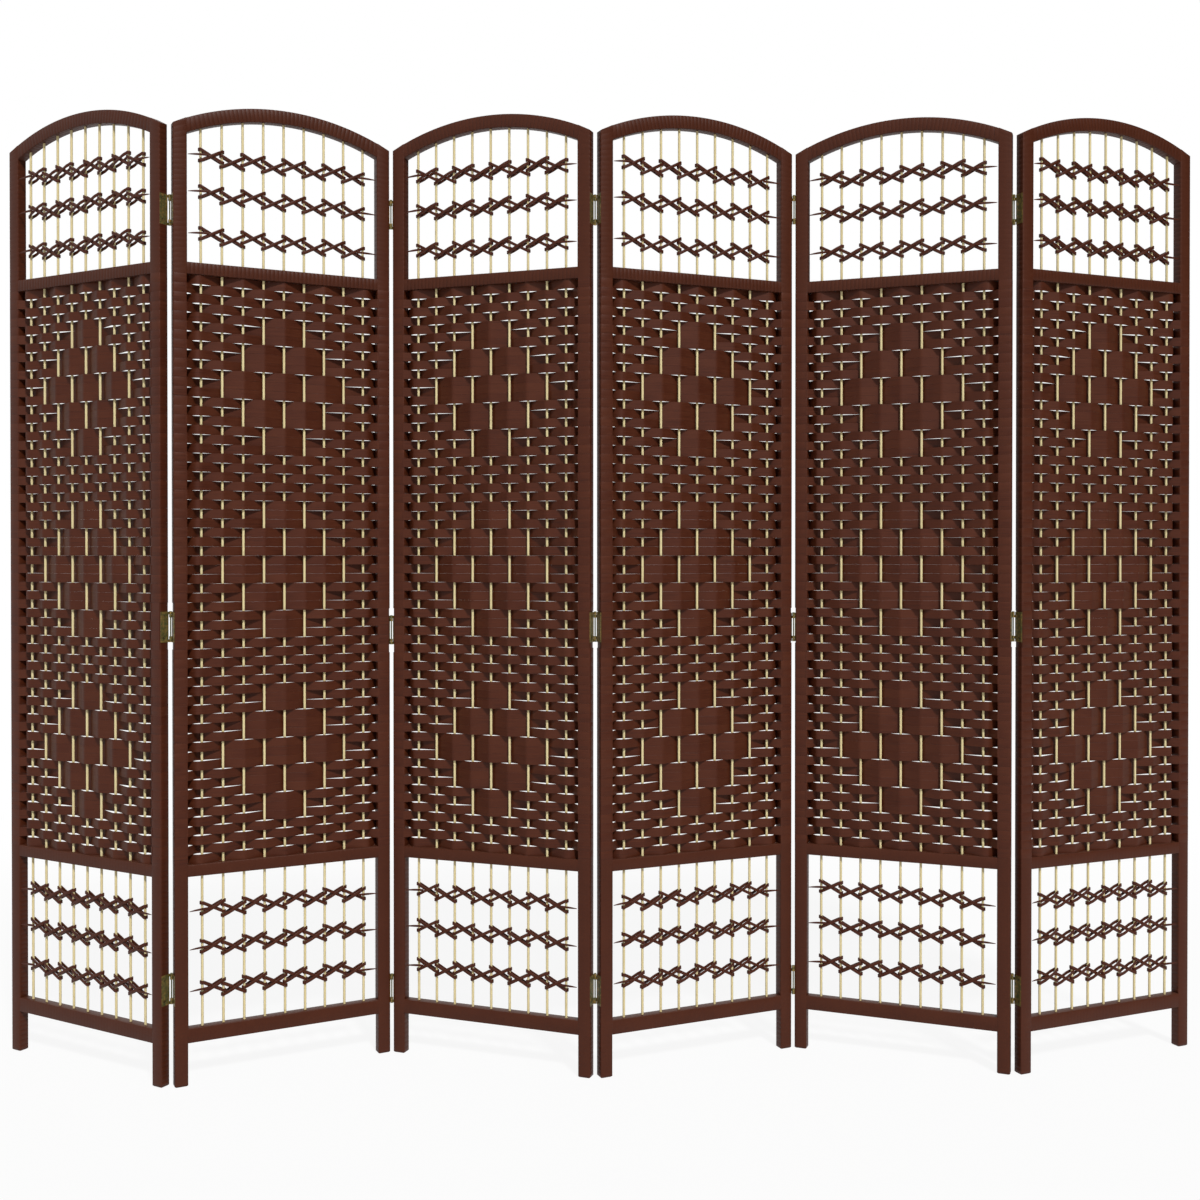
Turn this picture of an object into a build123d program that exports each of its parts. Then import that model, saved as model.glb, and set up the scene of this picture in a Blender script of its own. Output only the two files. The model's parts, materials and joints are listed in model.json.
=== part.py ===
from build123d import *
import os
from math import atan2, cos, radians, sqrt

# A six-panel folding screen: stained wooden frames, bamboo rods, woven fiber bands, brass butt hinges.
# Millimetres, +Z up, +X along the screen, -Y towards the front. Every panel is drawn in its own frame,
# with x along the panel from its left edge, y = 0 at mid-depth and z = 0 on the floor.

# How the panels stand at rest: each panel's turn from the long direction, in degrees
panel_turns = (-29.6, 27.3, -20.1, 23.6, -21.0, 22.9)

# Posts and the heights of what lies between them, from the floor up
panel_width = 395.0
post_width = 22.0
post_depth = 19.0
post_corner = 2.0
foot_chamfer = 1.6
leg_height = 75.6
bottom_rail_height = 26.0
bottom_window_height = 268.9
middle_rail_height = 21.0
weave_height = 1045.0
top_window_height = 227.0
arch_rise = 38.3
arch_thickness = 24.0

# Tenons that hold the rails and the arch in the posts
tenon_length = 9.0
tenon_height = 10.0
tenon_depth = 8.0
arch_tenon_lift = 4.0
tenon_clearance = 0.1

# Bamboo rods
rod_count = 9
rod_diameter = 4.6
rod_edge_distance = 26.6
rod_socket = 7.0
rod_clearance = 0.05

# Woven bands: one band a row, a ring round each post and a wave past the rods
row_count = 63
row_gap = 0.3
band_thickness = 1.2
wave_depth = 6.8
ring_clearance = 0.4
diamond_spacing = 20
diamond_step = 3
diamond_reach = 3

# Cross lacing in the open windows: two crossed loops to a pair of rods, level where they turn round a rod
bottom_lacing_heights = (67.5, 141.5, 209.5)
top_lacing_heights = (53.5, 127.5, 192.5)
lace_width = 5.0
lace_thickness = 2.0
lace_gap = 0.3
lace_cross = 19.5
lace_step = 7.0
lace_swell_run = 9.0
tail_width = 3.4
tail_tip = 0.8
tail_thickness = 1.0
tail_root = 13.0
tail_stop = 3.0
left_tail_drop = 2.6
right_tail_drop = 1.0

# Butt hinges, three to a joint: the heights of their middles, joint by joint
hinge_heights = (
    (170.5, 813.0, 1549.5),
    (121.5, 798.5, 1579.5),
    (156.0, 810.5, 1561.0),
    (130.5, 803.0, 1594.5),
    (150.5, 810.0, 1565.5),
)
hinge_height = 54.0
axis_from_end = 2.5
axis_from_face = 3.4
leaf_thickness = 1.0
leaf_margin = 1.0
knuckle_radius = 2.6
knuckle_height = 5.0
knuckle_gap = 0.3
pin_radius = 1.2
pin_clearance = 0.08
pin_head_height = 0.9
pin_head_radius = 2.2
screw_head_radius = 2.6
screw_radius = 1.3
screw_length = 14.0
screw_margin = 7.7
screw_clearance = 0.05
notch_clearance = 0.5
notch_inset = 1.2

# Worked-out places
window_width = panel_width - 2 * post_width
bottom_rail_top = leg_height + bottom_rail_height
lower_rail_bottom = bottom_rail_top + bottom_window_height
lower_rail_top = lower_rail_bottom + middle_rail_height
upper_rail_bottom = lower_rail_top + weave_height
upper_rail_top = upper_rail_bottom + middle_rail_height
arch_spring = upper_rail_top + top_window_height
arch_inner_radius = ((window_width / 2) ** 2 + arch_rise**2) / (2 * arch_rise)
arch_outer_radius = arch_inner_radius + arch_thickness
arch_centre_height = arch_spring + arch_rise - arch_inner_radius
rod_radius = rod_diameter / 2
rod_pitch = (window_width - 2 * rod_edge_distance) / (rod_count - 1)
rod_places = [post_width + rod_edge_distance + rod_pitch * i for i in range(rod_count)]
row_pitch = weave_height / row_count
band_height = row_pitch - row_gap
ring_middle = post_depth / 2 + ring_clearance + band_thickness / 2
axis_depth = post_depth / 2 + axis_from_face
lace_radius = rod_radius + lace_gap + lace_thickness / 2
lace_swell = lace_thickness + lace_gap


def arc_height(radius, x):
    """Height of a circle about the arch's centre, above the place x along the panel."""
    return arch_centre_height + sqrt(radius**2 - (x - panel_width / 2) ** 2)


def arch_outline(left, right, radius):
    """The arc of the arch between two places along the panel, in elevation."""
    middle = (left + right) / 2
    ends = [(x, arc_height(radius, x)) for x in (left, middle, right)]
    return ThreePointArc(*ends)


def upright(outline, depth):
    """A face drawn in elevation, x and z, thickened evenly to both sides of mid-depth."""
    return extrude(Plane.XZ * outline, amount=depth / 2, both=True)


def elevation_face(*edges):
    """A face from edges drawn as x and z."""
    return make_face(Curve() + list(edges))


def block(x0, x1, depth, z0, z1):
    """A box centred on mid-depth."""
    place = Pos((x0 + x1) / 2, 0, (z0 + z1) / 2)
    return place * Box(x1 - x0, depth, z1 - z0)


def tenon_pair(z, slack=0.0):
    """The two tenons of a rail at height z, or their mortises with slack all round."""
    height, depth = tenon_height + 2 * slack, tenon_depth + 2 * slack
    reach = tenon_length + slack
    left = block(post_width - reach, post_width, depth, z - height / 2, z + height / 2)
    start = panel_width - post_width
    right = block(start, start + reach, depth, z - height / 2, z + height / 2)
    return left, right


rail_middles = [
    leg_height + bottom_rail_height / 2,
    lower_rail_bottom + middle_rail_height / 2,
    upper_rail_bottom + middle_rail_height / 2,
]
arch_tenon_height = arch_spring + arch_tenon_lift + tenon_height / 2


def joint_side(joint):
    """1 where a joint's axis stands behind the panels, -1 where it stands in front; joints from 0."""
    return 1 if joint % 2 == 0 else -1


def screw_places(joint):
    """Depth and height of each screw of a joint's hinges on a post."""
    depth = -joint_side(joint) * (post_depth / 2 - screw_margin)
    shift = hinge_height / 2 - screw_margin
    return [(depth, z + step) for z in hinge_heights[joint] for step in (-shift, shift)]


def post(is_left, joint):
    """One post, standing full height, its top cut to the arch, with mortises and pilot holes.

    joint is the one on its outer face, or None where the screen ends.
    """
    left, right = (0, post_width) if is_left else (panel_width - post_width, panel_width)
    high_left, high_right = (arc_height(arch_outer_radius, x) for x in (left, right))
    outline = elevation_face(
        Line((left, 0), (right, 0)),
        Line((right, 0), (right, high_right)),
        arch_outline(left, right, arch_outer_radius),
        Line((left, high_left), (left, 0)),
    )
    solid = upright(outline, post_depth)
    solid = fillet(solid.edges().filter_by(Axis.Z), post_corner)
    solid = chamfer(solid.faces().sort_by(Axis.Z)[0].edges(), foot_chamfer)
    for z in (*rail_middles, arch_tenon_height):
        solid -= tenon_pair(z, tenon_clearance)[0 if is_left else 1]
    if joint is not None:
        x = left if is_left else right
        inward = 1 if is_left else -1
        for y, z in screw_places(joint):
            hole = Cylinder(screw_radius + screw_clearance, screw_length + screw_clearance)
            middle = x + inward * (screw_length + screw_clearance) / 2
            solid -= Pos(middle, y, z) * (Rot(0, 90, 0) * hole)
    return solid


def rod_top(x):
    """Height of a rod's upper end, in its socket in the arch."""
    return arc_height(arch_inner_radius, x) + rod_socket


def rods():
    """The bamboo rods, each in one length from the bottom rail to the arch."""
    foot = bottom_rail_top - rod_socket
    made = []
    for x in rod_places:
        length = rod_top(x) - foot
        made.append(Pos(x, 0, foot + length / 2) * Cylinder(rod_radius, length))
    return made


def rod_hole(x, z0, z1):
    """A hole for a rod between two heights."""
    return Pos(x, 0, (z0 + z1) / 2) * Cylinder(rod_radius + rod_clearance, z1 - z0)


def rail(middle, height, is_lowest):
    """A cross rail with its tenons, bored for the rods: through, or as sockets in the lowest."""
    solid = block(post_width, panel_width - post_width, post_depth, middle - height / 2, middle + height / 2)
    for tenon in tenon_pair(middle):
        solid += tenon
    top = middle + height / 2
    bottom = top - rod_socket - rod_clearance if is_lowest else middle - height / 2
    for x in rod_places:
        solid -= rod_hole(x, bottom, top)
    return solid


def rails():
    """The three cross rails."""
    heights = (bottom_rail_height, middle_rail_height, middle_rail_height)
    return [rail(m, h, i == 0) for i, (m, h) in enumerate(zip(rail_middles, heights))]


def arch():
    """The bowed top between the posts, with tenons and rod sockets."""
    left, right = post_width, panel_width - post_width
    low, high = arc_height(arch_inner_radius, left), arc_height(arch_outer_radius, left)
    outline = elevation_face(
        arch_outline(left, right, arch_outer_radius),
        Line((right, high), (right, low)),
        arch_outline(left, right, arch_inner_radius),
        Line((left, low), (left, high)),
    )
    solid = upright(outline, post_depth)
    for tenon in tenon_pair(arch_tenon_height):
        solid += tenon
    for x in rod_places:
        under = arc_height(arch_inner_radius, x) - arch_thickness / 2
        solid -= rod_hole(x, under, rod_top(x) + rod_clearance)
    return solid


def passes_behind(row, rod):
    """Whether the band of a row, counted from the middle row, passes behind a rod, counted from 0.

    Plain weave, in which rows of three floats make diamonds about every twentieth row.
    """
    behind = (row + rod) % 2 == 0
    middle_rod = (rod_count - 1) / 2
    for centre in (-diamond_spacing, 0, diamond_spacing):
        steps, rest = divmod(abs(row - centre), diamond_step)
        if rest == 0 and abs(rod - middle_rod) <= diamond_reach - steps:
            behind = not behind
    return behind


def wave(crests, thickness):
    """A ribbon of even thickness through crests (x, y), level at each, of tangent arcs."""
    half = thickness / 2
    upper, lower = [], []
    for (x0, y0), (x1, y1) in zip(crests, crests[1:]):
        for side, edges in ((half, upper), (-half, lower)):
            start, end = (x0, y0 + side), (x1, y1 + side)
            if y0 == y1:
                edges.append(Line(start, end))
                continue
            run, rise = (x1 - x0) / 2, (y1 - y0) / 2
            slope = 2 * atan2(rise, run)
            middle = (
                (x0 + x1) / 2 - side * sin_of(slope),
                (y0 + y1) / 2 + side * cos(slope),
            )
            edges.append(TangentArc(start, middle, tangent=(1, 0)))
            edges.append(TangentArc(end, middle, tangent=(-1, 0)))
    first, last = crests[0], crests[-1]
    ends = [
        Line((x, y - half), (x, y + half)) for x, y in (first, last)
    ]
    return make_face(Curve() + upper + lower + ends)


def sin_of(angle):
    """Sine of an angle in radians."""
    return cos(angle - radians(90))


def post_ring(middle):
    """The closed turn of band round a post, in plan."""
    inner = Pos(middle, 0) * RectangleRounded(
        post_width + 2 * ring_clearance, post_depth + 2 * ring_clearance, post_corner + ring_clearance
    )
    growth = ring_clearance + band_thickness
    outer = Pos(middle, 0) * RectangleRounded(
        post_width + 2 * growth, post_depth + 2 * growth, post_corner + growth
    )
    return outer - inner


def band_plan(behind):
    """A band in plan: both post rings and the wave past rods that it passes behind where True."""
    ring_left, ring_right = post_width / 2, panel_width - post_width / 2
    inside = post_width + ring_clearance + band_thickness
    first = -ring_middle if behind[0] else ring_middle
    last = -ring_middle if behind[-1] else ring_middle
    crests = [(ring_left, first), (inside, first)]
    crests += [(x, wave_depth if b else -wave_depth) for x, b in zip(rod_places, behind)]
    crests += [(panel_width - inside, last), (ring_right, last)]
    return post_ring(ring_left) + wave(crests, band_thickness) + post_ring(ring_right)


band_solids = {}


def band(behind):
    """A band's solid at height 0, made once for each way of passing the rods."""
    if behind not in band_solids:
        band_solids[behind] = extrude(band_plan(behind), band_height)
    return band_solids[behind]


def hinge_notches(left_joint, right_joint):
    """Boxes that keep the bands off the hinge leaves and knuckles on a panel's two posts."""
    deep = 2 * (axis_depth + knuckle_radius)
    height = hinge_height + 2 * notch_clearance
    reach = notch_inset + ring_clearance + 2 * band_thickness
    left, right = notch_inset - reach / 2, panel_width - notch_inset + reach / 2
    notches = []
    for middle, joint in ((left, left_joint), (right, right_joint)):
        if joint is not None:
            notches += [Pos(middle, 0, z) * Box(reach, deep, height) for z in hinge_heights[joint]]
    return notches


def bands(left_joint, right_joint):
    """All bands of a panel, the rows that meet a hinge cut back round it."""
    notches = hinge_notches(left_joint, right_joint)
    half = (row_count - 1) // 2
    made = []
    for row in range(-half, row_count - half):
        behind = tuple(passes_behind(row, rod) for rod in range(rod_count))
        z = lower_rail_top + row_pitch * (row + half) + row_gap / 2
        solid = Pos(0, 0, z) * band(behind)
        for notch in notches:
            box = notch.bounding_box()
            if box.min.Z < z + band_height and box.max.Z > z:
                solid -= notch
        made.append(solid)
    return made


def half_turn(x, start):
    """The half turn of a lace round a rod at x, in plan, from the angle start."""
    half = lace_thickness / 2
    arcs = [CenterArc((x, 0), lace_radius + side, start, 180) for side in (-half, half)]
    ends = [Line(arcs[0] @ at, arcs[1] @ at) for at in (0, 1)]
    return make_face(Curve() + arcs + ends)


def lace_plan(swell):
    """A loop round two neighbouring rods in plan, its strands swelling out between them."""
    rod = rod_pitch / 2
    shoulder = rod - lace_swell_run
    plan = half_turn(-rod, 90) + half_turn(rod, -90)
    for side in (-1, 1):
        near, out = side * lace_radius, side * (lace_radius + swell)
        plan += wave([(-rod, near), (-shoulder, out), (shoulder, out), (rod, near)], lace_thickness)
    return plan


def lace_slope(rise):
    """A lace in elevation: level past its rods, and straight between them with a rise to the right."""
    rod, half = rod_pitch / 2, lace_width / 2
    end = rod + lace_radius + lace_thickness
    line = [(-end, -rise / 2), (-rod, -rise / 2), (rod, rise / 2), (end, rise / 2)]
    below = [(x, z - half) for x, z in line]
    above = [(x, z + half) for x, z in reversed(line)]
    return make_face(Polyline(*below, *above, close=True))


def lace_loop(rise, swell):
    """A loop round two neighbouring rods, about the middle between them."""
    ring = extrude(lace_plan(swell), lace_cross, both=True)
    return ring & upright(lace_slope(rise), post_depth)


def lace_tail(is_left):
    """The tapered end of the lacing, from beside the outermost rod almost to the post."""
    rod = rod_places[0] if is_left else rod_places[-1]
    out = -1 if is_left else 1
    root = rod - out * tail_root
    tip = post_width + tail_stop if is_left else panel_width - post_width - tail_stop
    drop = left_tail_drop if is_left else right_tail_drop
    outline = elevation_face(
        Line((root, tail_width / 2), (root, -tail_width / 2)),
        TangentArc((root, -tail_width / 2), (tip, -drop - tail_tip / 2), tangent=(out, 0)),
        Line((tip, -drop - tail_tip / 2), (tip, -drop + tail_tip / 2)),
        TangentArc((root, tail_width / 2), (tip, -drop + tail_tip / 2), tangent=(out, 0)),
    )
    depth = -(lace_radius + lace_swell + lace_thickness / 2 + lace_gap + tail_thickness / 2)
    return Pos(0, depth, 0) * upright(outline, tail_thickness)


def lacing():
    """The cross lacing of both windows: crossed loops on each pair of rods, and two tails a row."""
    rising, falling = lace_loop(lace_cross, lace_swell), lace_loop(-lace_cross, 0)
    tails = lace_tail(True), lace_tail(False)
    heights = [bottom_rail_top + h for h in bottom_lacing_heights]
    heights += [upper_rail_top + h for h in top_lacing_heights]
    made = []
    for z in heights:
        for cell in range(rod_count - 1):
            middle = (rod_places[cell] + rod_places[cell + 1]) / 2
            place = Pos(middle, 0, z - lace_step * (cell % 2))
            made += [place * rising, place * falling]
        last_drop = lace_step * ((rod_count - 2) % 2)
        made += [Pos(0, 0, z) * tails[0], Pos(0, 0, z - last_drop) * tails[1]]
    return made


def leaf(has_end_knuckles):
    """A hinge leaf about the axis at the origin, on the post at x < 0, y < 0 of it.

    One leaf carries the two end knuckles and the other, its mirror image, the two inside them.
    Between those the pin is bare.
    """
    out = -axis_from_end
    plate_end = -axis_from_face
    plate_start = plate_end - post_depth + leaf_margin
    plate = plate_box(out, plate_start, plate_end, -hinge_height / 2, hinge_height / 2)
    high = hinge_height / 2 - (0 if has_end_knuckles else knuckle_height + knuckle_gap)
    low = high - knuckle_height
    for z in (-(low + high) / 2, (low + high) / 2):
        plate += plate_box(out, plate_end, 0, z - knuckle_height / 2, z + knuckle_height / 2)
        plate += Pos(0, 0, z) * Cylinder(knuckle_radius, knuckle_height)
    plate -= Cylinder(pin_radius + pin_clearance, hinge_height)
    for z in leaf_screw_steps():
        plate -= Pos(out, leaf_screw_depth(), z) * screw(screw_clearance)
    if not has_end_knuckles:
        plate = mirror(plate, about=Plane.YZ)
    return plate


def plate_box(x, y0, y1, z0, z1):
    """A stretch of leaf plate that lies on the post's face at x."""
    place = Pos(x + leaf_thickness / 2, (y0 + y1) / 2, (z0 + z1) / 2)
    return place * Box(leaf_thickness, y1 - y0, z1 - z0)


def leaf_screw_depth():
    """Depth of the screws from the hinge axis."""
    return -axis_from_face - post_depth + screw_margin


def leaf_screw_steps():
    """Heights of a leaf's two screws from the hinge's middle."""
    step = hinge_height / 2 - screw_margin
    return -step, step


def screw(slack=0.0):
    """A countersunk screw lying along -x, its shank entering the post at x = 0."""
    head = Rot(0, 90, 0) * Cone(screw_radius + slack, screw_head_radius + slack, leaf_thickness)
    shank = Rot(0, 90, 0) * Cylinder(screw_radius + slack, screw_length)
    return Pos(leaf_thickness / 2, 0, 0) * head + Pos(-screw_length / 2, 0, 0) * shank


def leaf_screws(has_end_knuckles):
    """The two screws of a leaf, about the hinge axis."""
    screws = [Pos(-axis_from_end, leaf_screw_depth(), z) * screw() for z in leaf_screw_steps()]
    return screws if has_end_knuckles else [mirror(s, about=Plane.YZ) for s in screws]


def hinge_pin():
    """The pin through the knuckles, with a flat head on top."""
    shaft = Cylinder(pin_radius, hinge_height)
    head = Cylinder(pin_head_radius, pin_head_height)
    return shaft + Pos(0, 0, (hinge_height + pin_head_height) / 2) * head


def axis_place(is_left_of_panel, side):
    """A hinge axis in a panel's own frame, turned so that the posts lie at y < 0 of it."""
    x = -axis_from_end if is_left_of_panel else panel_width + axis_from_end
    turn = 0 if side > 0 else 180
    return Pos(x, side * axis_depth, 0) * Rot(0, 0, turn)


def wears_end_knuckles(is_left_of_panel, side):
    """Whether the leaf on a panel's left or right end is the one with two knuckles."""
    return is_left_of_panel == (side < 0)


def panel_joints(number):
    """The joints at a panel's left and right ends, None where the screen ends; panels from 0."""
    left = number - 1 if number > 0 else None
    right = number if number < len(panel_turns) - 1 else None
    return left, right


def panel_hinges(number):
    """(leaves, screws) on one panel, in its own frame."""
    leaves, screws = [], []
    for is_left, joint in zip((True, False), panel_joints(number)):
        if joint is None:
            continue
        side = joint_side(joint)
        two = wears_end_knuckles(is_left, side)
        for z in hinge_heights[joint]:
            place = axis_place(is_left, side) * Pos(0, 0, z)
            leaves.append(place * leaf(two))
            screws += [place * s for s in leaf_screws(two)]
    return leaves, screws


def panel_places():
    """Where each panel stands: the chain of hinge axes, the first panel's left edge at the origin."""
    places = [Rot(0, 0, panel_turns[0])]
    for joint, turn in enumerate(panel_turns[1:]):
        side = joint_side(joint)
        axis = (places[-1] * Pos(panel_width + axis_from_end, side * axis_depth, 0)).position
        back = Rot(0, 0, turn) * Pos(-axis_from_end, side * axis_depth, 0)
        places.append(Pos(axis - back.position) * Rot(0, 0, turn))
    return places


def joint_pins(joint):
    """The three pins of a joint, in the frame of the panel on its left."""
    place = axis_place(False, joint_side(joint))
    return [place * Pos(0, 0, z) * hinge_pin() for z in hinge_heights[joint]]


def bare(shape):
    """The one solid of a shape, without the shapes that it was made from."""
    return Solid(shape.solid().wrapped)


def build():
    """Every node's solids in the screen's frame, and each hinge axis's place."""
    last = len(panel_turns) - 1
    places = panel_places()
    nodes = {}
    shared = {
        "top_arch": [arch()],
        "cross_rails": rails(),
        "bamboo_rods": rods(),
        "cross_lacing": lacing(),
    }
    for number, place in enumerate(places):
        left_joint, right_joint = panel_joints(number)
        leaves, screws = panel_hinges(number)
        own = {
            "left_post": [post(True, left_joint)],
            "right_post": [post(False, right_joint)],
            **shared,
            "woven_bands": bands(left_joint, right_joint),
            "hinge_leaves": leaves,
            "hinge_screws": screws,
        }
        for name, solids in own.items():
            nodes[f"panel_{number + 1}_{name}"] = [place * bare(s) for s in solids]
        if number < last:
            name = f"hinge_pins_{number + 1}_{number + 2}"
            nodes[name] = [place * bare(pin) for pin in joint_pins(number)]
    boxes = [s.bounding_box() for solids in nodes.values() for s in solids]
    xs = [x for box in boxes for x in (box.min.X, box.max.X)]
    ys = [y for box in boxes for y in (box.min.Y, box.max.Y)]
    to_centre = Pos(-(min(xs) + max(xs)) / 2, -(min(ys) + max(ys)) / 2, 0)
    axes = []
    for joint in range(last):
        at = to_centre * places[joint] * axis_place(False, joint_side(joint))
        axes.append(at.position)
    centred = {name: [to_centre * s for s in solids] for name, solids in nodes.items()}
    return centred, axes


def main():
    """Write one STEP file for each node."""
    os.makedirs("parts", exist_ok=True)
    nodes, axes = build()
    for name, solids in nodes.items():
        export_step(Compound(children=solids), f"parts/{name}.step")
    for joint, axis in enumerate(axes):
        print(f"hinge axis {joint + 1}-{joint + 2}: {axis.X:.3f}, {axis.Y:.3f}")


if __name__ == "__main__":
    main()
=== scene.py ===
"""Six-panel folding screen: wound frames, woven fiber bands, bamboo rods, crossed lacing and brass butt hinges.

Everything is in metres, in the frame of the solid model: +X along the screen, -Y towards the front, +Z up.
Each panel's pieces are drawn in the panel's own frame, with x along it from its left edge, y = 0 at mid-depth
and z = 0 on the floor, and then stand where the hinge axes put that panel.
"""

import json
import logging
import math
from dataclasses import dataclass, field
from enum import Enum

import bpy
import numpy as np
from mathutils import Matrix, Vector


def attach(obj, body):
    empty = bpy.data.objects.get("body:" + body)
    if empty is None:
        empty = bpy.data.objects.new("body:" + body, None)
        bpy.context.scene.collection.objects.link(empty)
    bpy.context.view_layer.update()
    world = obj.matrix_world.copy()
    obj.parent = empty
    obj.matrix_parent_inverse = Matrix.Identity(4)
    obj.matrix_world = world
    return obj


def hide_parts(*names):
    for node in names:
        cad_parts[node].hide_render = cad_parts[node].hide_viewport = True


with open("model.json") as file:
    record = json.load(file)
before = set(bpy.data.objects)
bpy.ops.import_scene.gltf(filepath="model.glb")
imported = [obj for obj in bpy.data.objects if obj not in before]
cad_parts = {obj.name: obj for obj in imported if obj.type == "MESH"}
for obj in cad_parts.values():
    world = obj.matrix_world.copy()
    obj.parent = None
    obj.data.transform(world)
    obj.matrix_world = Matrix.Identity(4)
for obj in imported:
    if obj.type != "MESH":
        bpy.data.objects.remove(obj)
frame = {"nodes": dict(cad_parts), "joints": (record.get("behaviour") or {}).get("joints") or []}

log = logging.getLogger("folding_screen")

MM = 0.001
PHOTO_WIDTH = 1200


class Side(Enum):
    """The left or the right of a panel, seen from the front."""

    LEFT = -1
    RIGHT = 1


class Face(Enum):
    """The front or the back of a panel."""

    FRONT = -1
    BACK = 1


class Socket(Enum):
    """The kinds of sockets on a shader group."""

    COLOUR = "NodeSocketColor"
    VALUE = "NodeSocketFloat"
    VECTOR = "NodeSocketVector"


def linear(red: int, green: int, blue: int) -> tuple[float, float, float, float]:
    """Turns a colour of 0 to 255 as seen on screen into the linear colour that a shader takes.

    Args:
        red: The red of the colour.
        green: The green of the colour.
        blue: The blue of the colour.

    Returns:
        The linear colour with an alpha of 1.
    """

    def one(value: int) -> float:
        share = value / 255
        return share / 12.92 if share <= 0.04045 else ((share + 0.055) / 1.055) ** 2.4

    return one(red), one(green), one(blue), 1.0


class NodeBench:
    """A node tree with short ways to add and link its nodes."""

    def __init__(self, tree: bpy.types.NodeTree) -> None:
        """Takes the tree that the nodes go into."""
        self.tree = tree

    def add(self, kind: str, **values: object) -> bpy.types.Node:
        """Adds one node.

        Args:
            kind: The node's type name.
            **values: Attributes of the node to set.

        Returns:
            The new node.
        """
        node = self.tree.nodes.new(kind)
        for name, value in values.items():
            setattr(node, name, value)
        return node

    def feed(self, node: bpy.types.Node, **inputs: object) -> bpy.types.Node:
        """Sets or links a node's inputs.

        Args:
            node: The node to feed.
            **inputs: A value or an output socket for each input, by its name with spaces as underscores,
                or by its number after input_.

        Returns:
            The same node.
        """
        for name, value in inputs.items():
            if name.startswith("input_"):
                target = node.inputs[int(name[6:])]
            else:
                target = node.inputs[name.replace("_", " ")]
            if isinstance(value, bpy.types.NodeSocket):
                self.tree.links.new(value, target)
            else:
                target.default_value = value
        return node

    def math(
        self, operation: str, first: object, second: object = 0.0, third: object = 0.0
    ) -> bpy.types.NodeSocket:
        """Adds a math node.

        Args:
            operation: The node's operation.
            first: The first value or socket.
            second: The second value or socket.
            third: The third value or socket, for the operations that take one.

        Returns:
            The result's socket.
        """
        node = self.add("ShaderNodeMath", operation=operation)
        self.feed(node, input_0=first, input_1=second, input_2=third)
        return node.outputs[0]

    def spread(
        self, value: object, low: float, high: float, to_low: float = 0.0, to_high: float = 1.0
    ) -> bpy.types.NodeSocket:
        """Maps a value smoothly from one range to another.

        Args:
            value: The value or socket to map.
            low: The start of its range.
            high: The end of its range.
            to_low: What low becomes.
            to_high: What high becomes.

        Returns:
            The mapped value's socket.
        """
        node = self.add("ShaderNodeMapRange", interpolation_type="SMOOTHSTEP")
        self.feed(node, Value=value, From_Min=low, From_Max=high, To_Min=to_low, To_Max=to_high)
        return node.outputs[0]

    def mix(self, share: object, first: object, second: object, blend: str = "MIX") -> bpy.types.NodeSocket:
        """Mixes two colours.

        Args:
            share: How much of the second colour.
            first: The first colour or socket.
            second: The second colour or socket.
            blend: The blend type.

        Returns:
            The mixed colour's socket.
        """
        node = self.add("ShaderNodeMix", data_type="RGBA", blend_type=blend)
        self.feed(node, input_0=share, input_6=first, input_7=second)
        return node.outputs[2]

    def noise(
        self, vector: object, scale: object, detail: float = 3.0, roughness: float = 0.5
    ) -> bpy.types.NodeSocket:
        """Adds a noise texture.

        Args:
            vector: The place's socket.
            scale: The noise's scale.
            detail: The number of octaves.
            roughness: How strong the finer octaves are.

        Returns:
            The noise value's socket.
        """
        node = self.add("ShaderNodeTexNoise")
        self.feed(node, Vector=vector, Scale=scale, Detail=detail, Roughness=roughness)
        return node.outputs[0]


class EffectGroup:
    """A shader node group with named sockets, built once and shared by the materials."""

    name = "effect"
    takes: tuple[tuple[str, Socket, object], ...] = ()
    gives: tuple[tuple[str, Socket], ...] = ()

    def __init__(self) -> None:
        """Makes the group's sockets, then its nodes."""
        self.tree = bpy.data.node_groups.new(self.name, "ShaderNodeTree")
        for label, socket, default in self.takes:
            made = self.tree.interface.new_socket(name=label, in_out="INPUT", socket_type=socket.value)
            if default is not None:
                made.default_value = default
        for label, socket in self.gives:
            self.tree.interface.new_socket(name=label, in_out="OUTPUT", socket_type=socket.value)
        self.bench = NodeBench(self.tree)
        self.source = self.bench.add("NodeGroupInput")
        self.sink = self.bench.add("NodeGroupOutput")
        self.wire()

    def wire(self) -> None:
        """Builds the nodes between the group's inputs and outputs."""

    def place(self, bench: NodeBench, **inputs: object) -> bpy.types.Node:
        """Puts the group into a material.

        Args:
            bench: The material's bench.
            **inputs: Values or sockets for the group's inputs.

        Returns:
            The group's node.
        """
        node = bench.add("ShaderNodeGroup")
        node.node_tree = self.tree
        return bench.feed(node, **inputs)


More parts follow.
